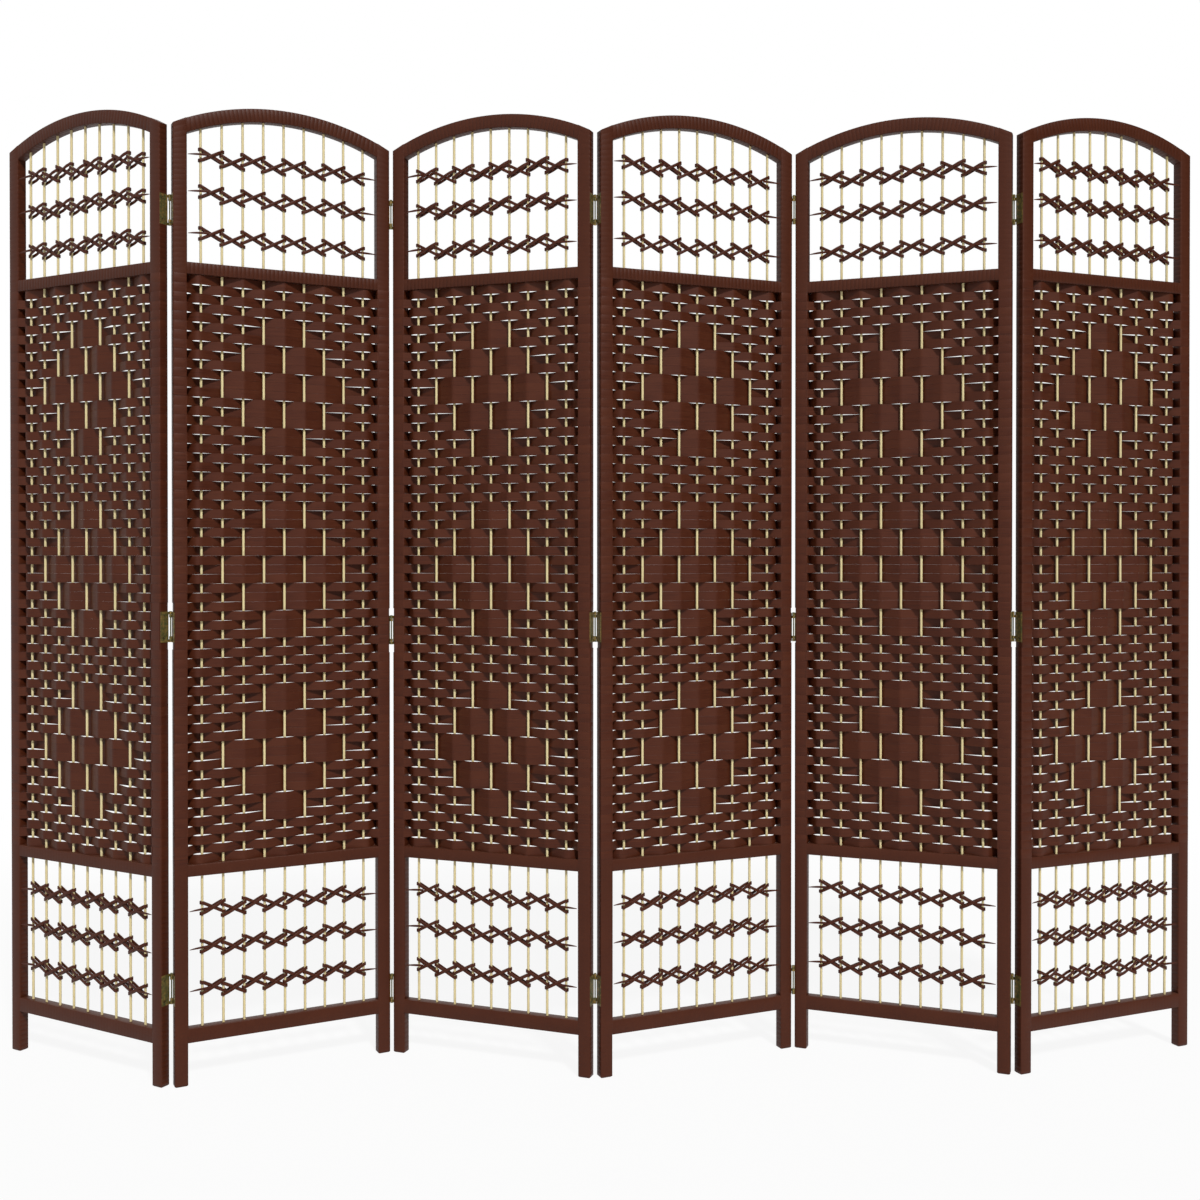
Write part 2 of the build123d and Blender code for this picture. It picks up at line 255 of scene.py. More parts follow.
class StrandGrain(EffectGroup):
    """Long fibers along a strand: fine streaks, slow changes of shade, and the height of the fibers."""

    name = "strand_grain"
    takes = (
        ("Place", Socket.VECTOR, None),
        ("Shade", Socket.COLOUR, (0.08, 0.03, 0.02, 1.0)),
        ("Pale", Socket.COLOUR, (0.12, 0.05, 0.03, 1.0)),
        ("Dark", Socket.COLOUR, (0.04, 0.015, 0.01, 1.0)),
        ("Fibers", Socket.VALUE, 900.0),
        ("Length", Socket.VALUE, 40.0),
        ("Contrast", Socket.VALUE, 0.5),
    )
    gives = (("Colour", Socket.COLOUR), ("Streak", Socket.VALUE), ("Height", Socket.VALUE))

    def wire(self) -> None:
        """Builds the streaks."""
        b, given = self.bench, self.source.outputs
        parts = b.feed(b.add("ShaderNodeSeparateXYZ"), Vector=given["Place"])
        along = b.math("MULTIPLY", parts.outputs[0], given["Length"])
        across = b.math("MULTIPLY", parts.outputs[1], given["Fibers"])
        stretched = b.feed(b.add("ShaderNodeCombineXYZ"), X=along, Y=across, Z=parts.outputs[2])
        streak = b.noise(stretched.outputs[0], 1.0, 4.0, 0.6)
        slow = b.noise(given["Place"], 11.0, 2.0, 0.5)
        pale = b.spread(streak, 0.52, 0.80)
        dark = b.spread(streak, 0.48, 0.22)
        colour = b.mix(b.math("MULTIPLY", pale, given["Contrast"]), given["Shade"], given["Pale"])
        colour = b.mix(b.math("MULTIPLY", dark, given["Contrast"]), colour, given["Dark"])
        tint = b.spread(slow, 0.35, 0.70)
        slow_share = b.math("MULTIPLY", tint, b.math("MULTIPLY", given["Contrast"], 0.45))
        colour = b.mix(slow_share, colour, given["Pale"])
        b.feed(self.sink, Colour=colour, Streak=streak, Height=streak)


class HandlingWear(EffectGroup):
    """Worn, paler patches where the piece stands proud and is touched."""

    name = "handling_wear"
    takes = (
        ("Colour", Socket.COLOUR, (0.1, 0.05, 0.03, 1.0)),
        ("Worn", Socket.COLOUR, (0.2, 0.1, 0.06, 1.0)),
        ("Proud", Socket.VALUE, 0.0),
        ("Scale", Socket.VALUE, 60.0),
        ("Amount", Socket.VALUE, 0.5),
    )
    gives = (("Colour", Socket.COLOUR), ("Mask", Socket.VALUE))

    def wire(self) -> None:
        """Builds the patches."""
        b, given = self.bench, self.source.outputs
        place = b.add("ShaderNodeTexCoord").outputs["Object"]
        patch = b.spread(b.noise(place, given["Scale"], 4.0, 0.65), 0.40, 0.68)
        mask = b.math("MULTIPLY", b.math("MULTIPLY", patch, given["Proud"]), given["Amount"])
        b.feed(self.sink, Colour=b.mix(mask, given["Colour"], given["Worn"]), Mask=mask)


class SettledDust(EffectGroup):
    """A thin film of dust on what faces up."""

    name = "settled_dust"
    takes = (
        ("Colour", Socket.COLOUR, (0.1, 0.05, 0.03, 1.0)),
        ("Dust", Socket.COLOUR, (0.5, 0.45, 0.4, 1.0)),
        ("Amount", Socket.VALUE, 0.1),
    )
    gives = (("Colour", Socket.COLOUR), ("Mask", Socket.VALUE))

    def wire(self) -> None:
        """Builds the film."""
        b, given = self.bench, self.source.outputs
        normal = b.add("ShaderNodeNewGeometry").outputs["Normal"]
        up = b.feed(b.add("ShaderNodeSeparateXYZ"), Vector=normal).outputs[2]
        place = b.add("ShaderNodeTexCoord").outputs["Object"]
        cloud = b.spread(b.noise(place, 38.0, 4.0, 0.6), 0.30, 0.70, 0.35, 1.0)
        mask = b.math("MULTIPLY", b.math("MULTIPLY", b.spread(up, 0.55, 0.98), cloud), given["Amount"])
        b.feed(self.sink, Colour=b.mix(mask, given["Colour"], given["Dust"]), Mask=mask)


@dataclass(frozen=True)
class StrandFinish:
    """A dyed fiber strip: the wound frame, the woven bands or the lacing."""

    name: str
    shade: tuple[float, float, float, float]
    pale: tuple[float, float, float, float]
    dark: tuple[float, float, float, float]
    fibers: float = 900.0
    length: float = 40.0
    contrast: float = 0.5
    roughness: float = 0.46
    gloss: float = 0.2
    depth: float = 0.00012
    wear: float = 0.25
    dust: float = 0.05


@dataclass(frozen=True)
class BambooFinish:
    """Split and rounded bamboo: pale, with long grain, faint nodes and painted shade towards its edges."""

    name: str
    shade: tuple[float, float, float, float]
    pale: tuple[float, float, float, float]
    dark: tuple[float, float, float, float]
    node_spacing: float = 0.21
    roughness: float = 0.48


@dataclass(frozen=True)
class PlateFinish:
    """Plated sheet steel: a colour, its tarnish and how it wears."""

    name: str
    shade: tuple[float, float, float, float]
    tarnish: tuple[float, float, float, float]
    bright: tuple[float, float, float, float]
    roughness: float = 0.35
    metallic: float = 1.0


class Workshop:
    """Makes the shared effects once, and a material for each finish."""

    def __init__(self) -> None:
        """Builds the three shared groups."""
        self.grain = StrandGrain()
        self.wear = HandlingWear()
        self.dust = SettledDust()

    def _start(self, name: str) -> tuple[bpy.types.Material, NodeBench, bpy.types.Node]:
        """Starts a material.

        Args:
            name: The material's name.

        Returns:
            The material, its bench and its main shader.
        """
        material = bpy.data.materials.new(name)
        material.use_nodes = True
        bench = NodeBench(material.node_tree)
        return material, bench, material.node_tree.nodes["Principled BSDF"]

    def strand(self, finish: StrandFinish) -> bpy.types.Material:
        """Makes the material of a fiber strip that runs along its strand map, with painted shade in its grooves.

        Args:
            finish: The strip's finish.

        Returns:
            The material.
        """
        material, b, shader = self._start(finish.name)
        place = b.add("ShaderNodeUVMap", uv_map="strand").outputs[0]
        proud = b.add("ShaderNodeAttribute", attribute_name="proud").outputs["Fac"]
        grain = self.grain.place(
            b, Place=place, Shade=finish.shade, Pale=finish.pale, Dark=finish.dark,
            Fibers=finish.fibers, Length=finish.length, Contrast=finish.contrast,
        )
        # painted shade: where the proud attribute is low, in the grooves between wound turns, the colour is
        # darkened towards the finish's dark colour
        groove = b.mix(b.spread(proud, 0.45, 0.0), grain.outputs["Colour"], finish.dark)
        worn = self.wear.place(b, Colour=groove, Worn=finish.pale, Proud=proud, Amount=finish.wear)
        film = self.dust.place(
            b, Colour=worn.outputs["Colour"], Dust=linear(150, 136, 124), Amount=finish.dust
        )
        rough = b.spread(grain.outputs["Streak"], 0.2, 0.8, finish.roughness - 0.07, finish.roughness + 0.09)
        bump = b.feed(b.add("ShaderNodeBump"), Strength=0.6, Distance=finish.depth, Height=grain.outputs["Height"])
        b.feed(
            shader, Base_Color=film.outputs["Colour"], Roughness=rough, Normal=bump.outputs[0],
            Specular_IOR_Level=finish.gloss,
        )
        return material

    def bamboo(self, finish: BambooFinish) -> bpy.types.Material:
        """Makes the rods' material, its grain upright and its edges darkened with painted shade.

        Args:
            finish: The rods' finish.

        Returns:
            The material.
        """
        material, b, shader = self._start(finish.name)
        place = b.add("ShaderNodeTexCoord").outputs["Object"]
        parts = b.feed(b.add("ShaderNodeSeparateXYZ"), Vector=place)
        turned = b.feed(b.add("ShaderNodeCombineXYZ"), X=parts.outputs[2], Y=parts.outputs[0], Z=parts.outputs[1])
        grain = self.grain.place(
            b, Place=turned.outputs[0], Shade=finish.shade, Pale=finish.pale, Dark=finish.dark,
            Fibers=1500.0, Length=22.0, Contrast=0.55,
        )
        shift = b.noise(b.feed(b.add("ShaderNodeCombineXYZ"), X=parts.outputs[0]).outputs[0], 26.0, 1.0)
        height = b.math("ADD", parts.outputs[2], b.math("MULTIPLY", shift, finish.node_spacing))
        ring = b.math("PINGPONG", height, finish.node_spacing / 2)
        node = b.spread(ring, 0.0022, 0.0)
        ringed = b.mix(b.math("MULTIPLY", node, 0.35), grain.outputs["Colour"], finish.dark)
        # painted shade: each rod darkens towards its silhouette edges, where its surface turns away from the
        # camera, as a lit cylinder would
        painted_edge_shade_facing = b.add("ShaderNodeLayerWeight").outputs["Facing"]
        rounded = b.mix(b.spread(painted_edge_shade_facing, 0.25, 0.95, 0.0, 0.75), ringed, finish.dark)
        film = self.dust.place(b, Colour=rounded, Dust=linear(190, 182, 165), Amount=0.1)
        height = b.math("SUBTRACT", b.math("MULTIPLY", grain.outputs["Height"], 0.5), node)
        bump = b.feed(b.add("ShaderNodeBump"), Strength=0.5, Distance=0.0001, Height=height)
        rough = b.spread(
            grain.outputs["Streak"], 0.2, 0.8, finish.roughness - 0.08, finish.roughness + 0.10
        )
        b.feed(shader, Base_Color=film.outputs["Colour"], Roughness=rough, Normal=bump.outputs[0])
        return material

    def plate(self, finish: PlateFinish) -> bpy.types.Material:
        """Makes the material of the hinge plates, pins or screws.

        Args:
            finish: The plate's finish.

        Returns:
            The material.
        """
        material, b, shader = self._start(finish.name)
        place = b.add("ShaderNodeTexCoord").outputs["Object"]
        cloud = b.noise(place, 160.0, 5.0, 0.65)
        fine = b.noise(place, 1900.0, 3.0, 0.6)
        tarnish = b.spread(cloud, 0.36, 0.66)
        colour = b.mix(tarnish, finish.shade, finish.tarnish)
        edge = b.spread(b.add("ShaderNodeNewGeometry").outputs["Pointiness"], 0.50, 0.56)
        worn = self.wear.place(b, Colour=colour, Worn=finish.bright, Proud=edge, Scale=220.0, Amount=0.9)
        film = self.dust.place(b, Colour=worn.outputs["Colour"], Dust=linear(140, 130, 110), Amount=0.08)
        rough = b.math("ADD", b.spread(cloud, 0.3, 0.7, finish.roughness - 0.08, finish.roughness + 0.12),
                       b.math("MULTIPLY", fine, 0.06))
        bump = b.feed(b.add("ShaderNodeBump"), Strength=0.35, Distance=0.00008, Height=fine)
        b.feed(
            shader, Base_Color=film.outputs["Colour"], Roughness=rough, Normal=bump.outputs[0],
            Metallic=finish.metallic,
        )
        return material


@dataclass
class MeshDraft:
    """Swept skins that are gathered into one mesh, with a map along each strand."""

    points: list[np.ndarray] = field(default_factory=list)
    faces: list[list[int]] = field(default_factory=list)
    strands: list[np.ndarray] = field(default_factory=list)
    proud: list[np.ndarray] = field(default_factory=list)
    count: int = 0

    def sweep(
        self, rings: np.ndarray, along: np.ndarray, around: np.ndarray,
        proud: np.ndarray | None = None, closed: bool = False, capped: bool = True,
    ) -> None:
        """Adds a skin through rings of points.

        Args:
            rings: The points, by ring, place in the ring and coordinate.
            along: The distance along the strand at each ring, and at the first again where closed.
            around: The distance round the ring at each point, and at the first point again.
            proud: How far each ring or point stands out, 0 in a groove and 1 on a crest; the material paints shade
                where it is low and wear where it is high.
            closed: Whether the last ring joins the first.
            capped: Whether the ends of an open skin are closed.
        """
        n, m = rings.shape[:2]
        rows = n if closed else n - 1
        i, j = np.meshgrid(np.arange(rows), np.arange(m), indexing="ij")
        i2, j2 = (i + 1) % n, (j + 1) % m
        quads = np.stack([i * m + j, i2 * m + j, i2 * m + j2, i * m + j2], axis=-1).reshape(-1, 4)
        self.faces += (quads + self.count).tolist()
        u = np.stack([along[i], along[i + 1], along[i + 1], along[i]], axis=-1).reshape(-1)
        v = np.stack([around[j], around[j], around[j + 1], around[j + 1]], axis=-1).reshape(-1)
        self.strands.append(np.stack([u, v], axis=-1))
        if capped and not closed:
            for k, order in ((0, range(m)), (n - 1, range(m - 1, -1, -1))):
                self.faces.append([self.count + k * m + p for p in order])
                self.strands.append(np.array([(along[k], around[p]) for p in order]))
        self.points.append(rings.reshape(-1, 3))
        stands = np.ones((n, m)) if proud is None else np.broadcast_to(proud, (n, m))
        self.proud.append(stands.reshape(-1))
        self.count += n * m

    def finish(self, name: str, material: bpy.types.Material, smooth_to: float = 50.0) -> bpy.types.Object:
        """Makes the object.

        Args:
            name: The object's name.
            material: The material of the whole mesh.
            smooth_to: The largest angle between faces that is shaded as smooth, in degrees.

        Returns:
            The object, linked to the scene.
        """
        mesh = bpy.data.meshes.new(name)
        mesh.from_pydata(np.concatenate(self.points).tolist(), [], self.faces)
        mesh.uv_layers.new(name="strand").data.foreach_set("uv", np.concatenate(self.strands).reshape(-1))
        mesh.attributes.new("proud", "FLOAT", "POINT").data.foreach_set("value", np.concatenate(self.proud))
        mesh.materials.append(material)
        mesh.shade_smooth()
        mesh.set_sharp_from_angle(angle=math.radians(smooth_to))
        mesh.update()
        made = bpy.data.objects.new(name, mesh)
        bpy.context.scene.collection.objects.link(made)
        return made


def rounded_section(width: float, height: float, radius: float, corner_steps: int = 3) -> np.ndarray:
    """A rounded rectangle about the origin, anticlockwise.

    Args:
        width: Its whole width.
        height: Its whole height.
        radius: The radius of its corners.
        corner_steps: The straight pieces in each corner.

    Returns:
        The points, by place and coordinate.
    """
    points = []
    for corner, (sx, sy) in enumerate(((1, 1), (-1, 1), (-1, -1), (1, -1))):
        centre = np.array([sx * (width / 2 - radius), sy * (height / 2 - radius)])
        for step in range(corner_steps + 1):
            angle = math.pi / 2 * (corner + step / corner_steps)
            points.append(centre + radius * np.array([math.cos(angle), math.sin(angle)]))
    return np.array(points)


def lengths(points: np.ndarray, closed: bool) -> np.ndarray:
    """Running distances along a line of points.

    Args:
        points: The points.
        closed: Whether the line returns to its first point.

    Returns:
        The distance at each point, and at the first again where closed.
    """
    line = np.vstack([points, points[:1]]) if closed else points
    return np.concatenate([[0.0], np.cumsum(np.linalg.norm(np.diff(line, axis=0), axis=1))])


@dataclass(frozen=True)
class PanelShape:
    """The sizes that a panel's pieces share, in millimetres."""

    width: float = 395.0
    post_width: float = 22.0
    post_depth: float = 19.0
    post_corner: float = 2.0
    leg_height: float = 75.6
    bottom_rail: float = 26.0
    bottom_window: float = 268.9
    middle_rail: float = 21.0
    weave: float = 1045.0
    top_window: float = 227.0
    arch_rise: float = 38.3
    arch_thickness: float = 24.0
    row_count: int = 63
    rod_count: int = 9
    rod_diameter: float = 4.6
    rod_edge: float = 26.6
    axis_from_end: float = 2.5
    axis_from_face: float = 3.4

    @property
    def window(self) -> float:
        """The clear width between the posts."""
        return self.width - 2 * self.post_width

    @property
    def levels(self) -> dict[str, float]:
        """The heights at which one part of the panel ends and the next starts."""
        bottom_top = self.leg_height + self.bottom_rail
        lower = bottom_top + self.bottom_window
        lower_top = lower + self.middle_rail
        upper = lower_top + self.weave
        upper_top = upper + self.middle_rail
        return {
            "bottom_rail": self.leg_height, "bottom_rail_top": bottom_top, "lower_rail": lower,
            "lower_rail_top": lower_top, "upper_rail": upper, "upper_rail_top": upper_top,
            "spring": upper_top + self.top_window,
        }

    @property
    def arch_inner(self) -> float:
        """The radius of the arch's underside."""
        return ((self.window / 2) ** 2 + self.arch_rise**2) / (2 * self.arch_rise)

    @property
    def arch_outer(self) -> float:
        """The radius of the arch's top."""
        return self.arch_inner + self.arch_thickness

    def arc(self, radius: float, x: float | np.ndarray) -> float | np.ndarray:
        """The height of a circle about the arch's centre.

        Args:
            radius: The circle's radius.
            x: The place along the panel.

        Returns:
            The height.
        """
        centre = self.levels["spring"] + self.arch_rise - self.arch_inner
        return centre + np.sqrt(radius**2 - (x - self.width / 2) ** 2)

    @property
    def rods(self) -> list[float]:
        """The rods' places along the panel."""
        pitch = (self.window - 2 * self.rod_edge) / (self.rod_count - 1)
        return [self.post_width + self.rod_edge + pitch * i for i in range(self.rod_count)]


@dataclass(frozen=True)
class Panel:
    """One panel of the screen: its number, its turn and where its left edge stands."""

    number: int
    turn: float
    origin: tuple[float, float]
    shape: PanelShape

    @property
    def body(self) -> str:
        """The name of the body that the panel's pieces ride on."""
        return f"panel_{self.number}"

    def node(self, part: str) -> str:
        """The name of one of the panel's solids."""
        return f"{self.body}_{part}"

    def stand(self, piece: bpy.types.Object, slot: str, *parts: str) -> bpy.types.Object:
        """Puts a piece drawn in the panel's frame where the panel stands, in place of its solids.

        Args:
            piece: The piece.
            slot: The record's material slot; not used.
            *parts: The parts whose solids the piece stands for.

        Returns:
            The piece.
        """
        place = Matrix.Translation((*self.origin, 0.0)) @ Matrix.Rotation(math.radians(self.turn), 4, "Z")
        piece.matrix_world = place
        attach(piece, self.body)
        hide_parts(*[self.node(part) for part in parts])
        log.info("%s rides on %s", piece.name, self.body)
        return piece


@dataclass
class ScreenPlan:
    """How the panels stand, from the hinge axes of the solid model."""

    shape: PanelShape
    turns: tuple[float, ...] = (-29.6, 27.3, -20.1, 23.6, -21.0, 22.9)

    def hinge_face(self, joint: int) -> Face:
        """Which face a joint's axis stands off.

        Args:
            joint: The joint, from 1 at the left.

        Returns:
            The face.
        """
        return Face.BACK if joint % 2 else Face.FRONT

    def panels(self) -> list[Panel]:
        """Works out each panel's place.

        Returns:
            The panels, from left to right.
        """
        at = {joint["name"]: joint["pos_m"] for joint in frame["joints"]}
        off = (self.shape.post_depth / 2 + self.shape.axis_from_face) * MM
        end = self.shape.axis_from_end * MM
        made = []
        for number, turn in enumerate(self.turns, start=1):
            joint = min(number, len(self.turns) - 1)
            own_x = self.shape.width * MM + end if joint == number else -end
            own_y = off * self.hinge_face(joint).value
            x, y, _ = at[f"hinge_{joint}_{joint + 1}"]
            c, s = math.cos(math.radians(turn)), math.sin(math.radians(turn))
            origin = (x - own_x * c + own_y * s, y - own_x * s - own_y * c)
            made.append(Panel(number, turn, origin, self.shape))
        return made


@dataclass
class WoundFrame:
    """Posts, rails and arch wound with a flat strip, whose turns show as shallow ribs with painted shade in their
    grooves.

    The strip lies on the wooden posts, outer_wrap thick towards the next panel and thicker towards the
    windows the higher it is. Between the middle rails the posts are bare under the woven bands.
    """

    shape: PanelShape
    outer_wrap: float = 0.9
    leg_wrap: float = 0.3
    low_wrap: float = 0.9
    high_wrap: float = 1.5
    face_wrap: float = 0.2
    post_turn: float = 9.0
    rail_turn: float = 7.5
    post_groove: float = 0.24
    front_share: float = 0.2
    rail_groove: float = 0.07
    upper_groove: float = 0.26
    groove_width: float = 0.5
    slant: float = 1.3
    foot_chamfer: float = 1.6
    end_fade: float = 25.0
    edge_fade: float = 12.0
    lean_run: float = 40.0
    bare_step: float = 0.01
    cap_share: float = 0.93
    cap_drop: float = 0.6
    cap_rise: float = 0.5
    rail_inset: float = 0.2
    rail_corner: float = 1.2
    _meshes: dict[str, bpy.types.Mesh] = field(default_factory=dict)

    def turn_stations(self, start: float, end: float, pitch: float) -> tuple[np.ndarray, np.ndarray]:
        """Where the rings of a wound stretch lie, and how far each stands out.

        Args:
            start: The start of the stretch.
            end: The end of the stretch.
            pitch: The width of a turn.

        Returns:
            The places, and 0 in a groove to 1 on a crest.
        """
        turns = max(1, round((end - start) / pitch))
        width = (end - start) / turns
        places, stands = [start], [1.0]
        for turn in range(turns):
            base = start + turn * width
            if turn:
                places += [base - self.groove_width, base, base + self.groove_width]
                stands += [0.85, 0.0, 0.85]
            places.append(base + width / 2)
            stands.append(1.0)
        places.append(end)
        stands.append(1.0)
        return np.array(places), np.array(stands)

    def post(self, side: Side) -> MeshDraft:
        """Draws a post.

        Args:
            side: The post's side of the panel.

        Returns:
            The draft, in the panel's frame.
        """
        sh, lv = self.shape, self.shape.levels
        left = 0.0 if side is Side.LEFT else sh.width - sh.post_width
        middle = left + sh.post_width / 2
        step = self.bare_step
        corner = float(sh.arc(sh.arch_outer, 0.0))
        low, low_stand = self.turn_stations(self.foot_chamfer, lv["lower_rail_top"], self.post_turn)
        row = sh.weave / sh.row_count
        weave = np.arange(lv["lower_rail_top"] + row, lv["upper_rail"], row * 3)
        high, high_stand = self.turn_stations(lv["upper_rail"], corner, self.post_turn)
        z = np.concatenate([low, [low[-1] + step], weave, [high[0] - step], high])
        stand = np.concatenate([low_stand, np.full(len(weave) + 2, 1.0), high_stand])
        bare = (z > low[-1]) & (z < high[0])
        above_leg = np.where(z < high[0], self.low_wrap, self.high_wrap)
        inner = np.where(z < lv["bottom_rail"], self.leg_wrap, above_leg)
        inner, outer = np.where(bare, 0.0, inner), np.where(bare, 0.0, self.outer_wrap)
        face = np.where(bare, -self.face_wrap, self.face_wrap)
        section = rounded_section(sh.post_width, sh.post_depth, sh.post_corner)
        outward = section / np.linalg.norm(section, axis=1, keepdims=True)
        sideways = (np.abs(section[:, 0]) - sh.post_width / 2 + sh.post_corner) / sh.post_corner
        share = self.front_share + (1 - self.front_share) * sideways
        fade = np.clip(np.minimum(z - z[0], z[-1] - z) / self.end_fade, 0.0, 1.0)
        for edge in (low[-1], high[0]):
            fade *= np.clip(np.abs(z - edge) / self.edge_fade, 0.0, 1.0)
        rings = np.zeros((len(z), len(section), 3))
        sink = -(1.0 - stand)[:, None] * self.post_groove * share[None, :]
        outside = np.sign(section[:, 0]) == side.value
        wrap = np.where(outside[None, :], outer[:, None], inner[:, None]) * np.sign(section[None, :, 0])
        rings[:, :, 0] = middle + section[None, :, 0] + wrap + sink * outward[None, :, 0]
        face_side = face[:, None] * np.sign(section[None, :, 1])
        rings[:, :, 1] = section[None, :, 1] + face_side + sink * outward[None, :, 1]
        lean = self.slant * section[:, 0] / (sh.post_width / 2) * -side.value
        rings[:, :, 2] = z[:, None] + fade[:, None] * lean[None, :]
        start = corner - self.lean_run
        above = np.clip((rings[:, :, 2] - start) / (corner - start), 0.0, 1.0)
        top = sh.arc(sh.arch_outer, rings[:, :, 0])
        rings[:, :, 2] += above * (top - corner)
        foot = rings[0].copy()
        foot[:, 0] = middle + (foot[:, 0] - middle) * (1 - 2 * self.foot_chamfer / sh.post_width)
        foot[:, 1] *= 1 - 2 * self.foot_chamfer / sh.post_depth
        foot[:, 2] = 0.0
        cap = rings[-1].copy()
        cap[:, 0] = middle + (cap[:, 0] - middle) * self.cap_share
        cap[:, 1] *= self.cap_share
        rings = np.concatenate([foot[None], rings, cap[None]])
        rings[-2, :, 2] -= self.cap_drop
        # these proud values also set the painted shade in the grooves: darkest on the sides of the post, none on
        # its front
        stand = 1.0 - (1.0 - np.concatenate([[1.0], stand, [1.0]]))[:, None] * share[None, :]
        z = np.concatenate([[0.0], z, [corner + self.cap_rise]])
        draft = MeshDraft()
        # the strip runs round the post, so the map's first axis goes round and its second climbs
        around = lengths(section, closed=True)
        draft.sweep(rings[::-1] * MM, z[::-1] * MM, around * MM, stand[::-1])
        self._turn_map(draft)
        return draft

    def _turn_map(self, draft: MeshDraft) -> None:
        """Swaps the strand map's axes, so that the strand runs round the member."""
        draft.strands = [strand[:, ::-1].copy() for strand in draft.strands]

    def rails(self) -> MeshDraft:
        """Draws the three cross rails.

        Returns:
            The draft, in the panel's frame.
        """
        sh, lv = self.shape, self.shape.levels
        draft = MeshDraft()
        for low, high, groove in (
            (lv["bottom_rail"], lv["bottom_rail_top"], self.rail_groove),
            (lv["lower_rail"], lv["lower_rail_top"], self.rail_groove),
            (lv["upper_rail"], lv["upper_rail_top"], self.upper_groove),
        ):
            x, stand = self.turn_stations(sh.post_width, sh.width - sh.post_width, self.rail_turn)
            section = rounded_section(sh.post_depth - self.rail_inset, high - low, self.rail_corner, 2)
            outward = section / np.linalg.norm(section, axis=1, keepdims=True)
            sink = -(1.0 - stand)[:, None] * groove
            # painted shade: the upper rail's grooves get full painted shade in the material, the two lower rails'
            # grooves none
            stand = 1.0 - (1.0 - stand) * groove / self.upper_groove
            rings = np.zeros((len(x), len(section), 3))
            rings[:, :, 0] = x[:, None] + 0.5 * section[None, :, 1] / (high - low)
            rings[[0, -1], :, 0] = x[[0, -1], None]
            rings[:, :, 1] = section[None, :, 0] + sink * outward[None, :, 0]
            rings[:, :, 2] = (low + high) / 2 + section[None, :, 1] + sink * outward[None, :, 1]
            draft.sweep(rings * MM, x * MM, lengths(section, True) * MM, stand[:, None])
        self._turn_map(draft)
        return draft

    def arch(self) -> MeshDraft:
        """Draws the bowed top between the posts.

        Returns:
            The draft, in the panel's frame.
        """
        sh = self.shape
        half = sh.window / 2
        s, stand = self.turn_stations(-half, half, self.rail_turn)
        section = rounded_section(sh.post_depth - self.rail_inset, sh.arch_thickness, self.rail_corner, 2)
        outward = section / np.linalg.norm(section, axis=1, keepdims=True)
        sink = -(1.0 - stand)[:, None] * self.upper_groove
        y = section[None, :, 0] + sink * outward[None, :, 0]
        radial = section[None, :, 1] + sink * outward[None, :, 1]
        radius = sh.arch_inner + sh.arch_thickness / 2 + radial
        upright = (np.abs(s) / half)[:, None] ** 6
        share = radius / sh.arch_outer
        x = s[:, None] * (share + (1 - share) * upright)
        rings = np.zeros((len(s), len(section), 3))
        rings[:, :, 0] = sh.width / 2 + x
        rings[:, :, 1] = y
        rings[:, :, 2] = sh.levels["spring"] + sh.arch_rise - sh.arch_inner + np.sqrt(radius**2 - x**2)
        draft = MeshDraft()
        # the proud values, 0 in the grooves, make the material darken the grooves fully with painted shade
        draft.sweep(rings * MM, s * MM, lengths(section, True) * MM, stand[:, None])
        self._turn_map(draft)
        return draft

    def build(self, panel: Panel, material: bpy.types.Material) -> None:
        """Builds a panel's wound frame.

        Args:
            panel: The panel.
            material: The wound strip's material.
        """
        drafts = {
            "left_post": lambda: self.post(Side.LEFT), "right_post": lambda: self.post(Side.RIGHT),
            "cross_rails": self.rails, "top_arch": self.arch,
        }
        for part, draw in drafts.items():
            name = f"{panel.body}_wound_{part}"
            if part not in self._meshes:
                piece = draw().finish(name, material)
                self._meshes[part] = piece.data
            else:
                piece = bpy.data.objects.new(name, self._meshes[part])
                bpy.context.scene.collection.objects.link(piece)
            panel.stand(piece, "stained_frame", part)


